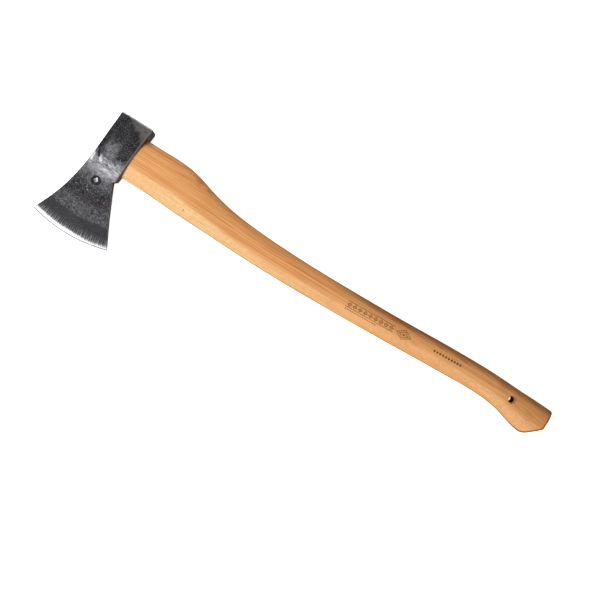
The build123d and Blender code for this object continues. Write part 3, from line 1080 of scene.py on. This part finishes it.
def burnt_marks(s):
    """A border of lozenges with a nested one after it and dashes under it, and a row of dots."""
    lean = 0.045
    pitch, dash_pitch, dot_pitch = 9.0, 3.0, 5.0
    near_side = s.z.step(2.0, 4.0)
    along = s.x - 370.0
    across = s.y + 19.0 - (s.x - 426.0) * lean
    tile = abs((along / pitch).fraction() - 0.5) * pitch
    lozenge = tile * 0.9 + abs(across)
    outlines = lozenge.band(2.2, 3.2, 0.35).higher(lozenge.step(1.1, 0.7))
    lines = abs(across).band(4.5, 5.0, 0.35)
    border = along.band(0.0, 81.0, 0.4) * outlines.higher(lines)
    nested = abs(along - 98.0) * 0.62 + abs(across)
    for inner, outer in ((7.2, 8.0), (4.2, 5.0)):
        border = border.higher(nested.band(inner, outer, 0.35))
    border = border.higher(nested.step(2.0, 1.4))
    dashes = (along / dash_pitch).fraction().band(0.25, 0.75, 0.15) * along.band(0.0, 54.0, 0.3)
    border = border.higher(dashes * across.band(-8.6, -7.4, 0.4))

    dots_along = s.x - 518.0
    dots_across = s.y + 12.0 - (s.x - 542.0) * lean
    dot = abs((dots_along / dot_pitch).fraction() - 0.5) * dot_pitch + abs(dots_across) * 0.8
    dots = dot.step(2.3, 1.7) * dots_along.band(0.0, 50.0, 0.3)
    return near_side * border, near_side * dots


def hickory():
    s = HaftShader("oiled_hickory")
    wood_grain(s)
    shaded_edges_and_end_grain(s)
    border, dots = burnt_marks(s)
    char = s.noise(1.6, 2, 0.5, 6.0).step(0.25, 0.6)
    s.paint(border * (0.60 + 0.35 * char), (0.11, 0.036, 0.012))
    s.paint(dots * (0.72 + 0.2 * char), (0.06, 0.022, 0.012))
    # Painted shade round the hole's mouth.
    mouth = s.near((HOLE_CENTRE[0] + 1.2, HOLE_CENTRE[1] + 0.4), HOLE_RADIUS + 0.9, 1.4)
    s.paint(mouth * 0.7, (0.30, 0.085, 0.018))
    # Painted shade inside the hole.
    hole_shade = s.near(HOLE_CENTRE, HOLE_RADIUS, 0.4) * abs(s.z).step(11.4, 9.4)
    s.paint(hole_shade * 0.95, (0.020, 0.009, 0.005))
    height = s.fibre * 0.03 + s.fine * 0.02 - s.pores * 0.05 - (border + dots) * 0.06
    roughness = 0.48 + (s.fibre - 0.5) * 0.12 + s.pores * 0.12 + hole_shade * 0.4
    return s.set(Base_Color=s.colour, Roughness=roughness, Normal=s.bump(height), Specular_IOR_Level=0.15)


def wedge_wood():
    s = Shader("wedge_wood")
    lines = s.noise((30.0, 5.0, 0.7), 4, 0.6, 2.0)
    crushed = s.noise(1.8, 3, 0.6, 5.0)
    s.colour = s.mix(lines.step(0.35, 0.65), (0.30, 0.155, 0.07), (0.46, 0.27, 0.13))
    s.paint(crushed.step(0.55, 0.75) * 0.5, (0.16, 0.08, 0.04))
    return s.set(Base_Color=s.colour, Roughness=0.62, Normal=s.bump(lines * 0.08 + crushed * 0.10))


def wedge_steel():
    s = Shader("wedge_steel")
    hammered = s.noise(3.0, 3, 0.6, 2.0)
    stain = s.noise(1.2, 3, 0.6, 6.0)
    s.colour = s.mix(hammered.step(0.35, 0.65), (0.22, 0.22, 0.23), (0.48, 0.48, 0.49))
    s.paint(stain.step(0.56, 0.72) * 0.6, (0.17, 0.08, 0.045))
    height = hammered * 0.2 + stain * 0.04
    return s.set(Base_Color=s.colour, Metallic=0.9, Roughness=0.38 + stain * 0.2, Normal=s.bump(height))


def dress(piece, material):
    """Make a material a piece's only one."""
    piece.data.materials.clear()
    piece.data.materials.append(material)


# -------- stage
def make_floor():
    """A wide white floor under the axe, which the lights' bounces don't see."""
    half = 60.0
    vertices = [(-half, -half, 0), (half, -half, 0), (half, half, 0), (-half, half, 0)]
    mesh = bpy.data.meshes.new("floor")
    mesh.from_pydata(vertices, [], [(0, 1, 2, 3)])
    floor = bpy.data.objects.new("floor", mesh)
    floor.location.z = cad_low.z
    floor.visible_diffuse = False
    floor.visible_glossy = False
    bpy.context.scene.collection.objects.link(floor)
    pale, white = (0.92, 0.92, 0.92), (1.0, 1.0, 1.0)
    s = Shader("pale_floor")
    dress(floor, s.set(Base_Color=pale, Roughness=0.9, Emission_Color=white, Emission_Strength=0.78))


def area_light(name, location, target, size, power):
    """A round white light that faces a target."""
    light = bpy.data.lights.new(name, "AREA")
    light.shape = "DISK"
    light.size = size
    light.energy = power
    lamp = bpy.data.objects.new(name, light)
    lamp.location = location
    lamp.rotation_euler = (Vector(target) - Vector(location)).to_track_quat("-Z", "Y").to_euler()
    bpy.context.scene.collection.objects.link(lamp)


def make_lights():
    world = bpy.data.worlds.new("studio")
    world.use_nodes = True
    world.node_tree.nodes["Background"].inputs["Color"].default_value = (1, 1, 1, 1)
    world.node_tree.nodes["Background"].inputs["Strength"].default_value = 0.30
    bpy.context.scene.world = world
    area_light("key", (-0.75, -1.15, 1.20), (-0.1, 0, 0), size=1.3, power=38)
    area_light("fill", (0.70, -1.10, 1.50), (0.2, 0, 0), size=1.2, power=6)
    area_light("back", (-0.75, 0.80, 0.55), (-0.36, 0, 0), size=0.7, power=8)


# The picture looks straight down on the cheek, with the haft running down to the right.
VIEW_CENTRE = (306.7, -55.5)
VIEW_DISTANCE = 1.361
HAFT_SLOPE = math.radians(32.0)
LENS = 53.4


def make_camera():
    camera = bpy.data.objects.new("camera", bpy.data.cameras.new("camera"))
    camera.data.lens = LENS
    camera.data.clip_end = 20
    target = place([(*VIEW_CENTRE, 0.0)])[0]
    camera.location = (target[0], target[1], target[2] + VIEW_DISTANCE)
    camera.rotation_euler = (0, 0, HAFT_SLOPE)
    bpy.context.scene.collection.objects.link(camera)
    bpy.context.scene.camera = camera


make_camera()
make_floor()
make_lights()
dress(make_head(), forged_steel())
dress(make_haft(), hickory())
wooden_wedge, steel_ring = make_wedges()
dress(wooden_wedge, wedge_wood())
dress(steel_ring, wedge_steel())

bpy.context.scene.view_settings.view_transform = "Standard"
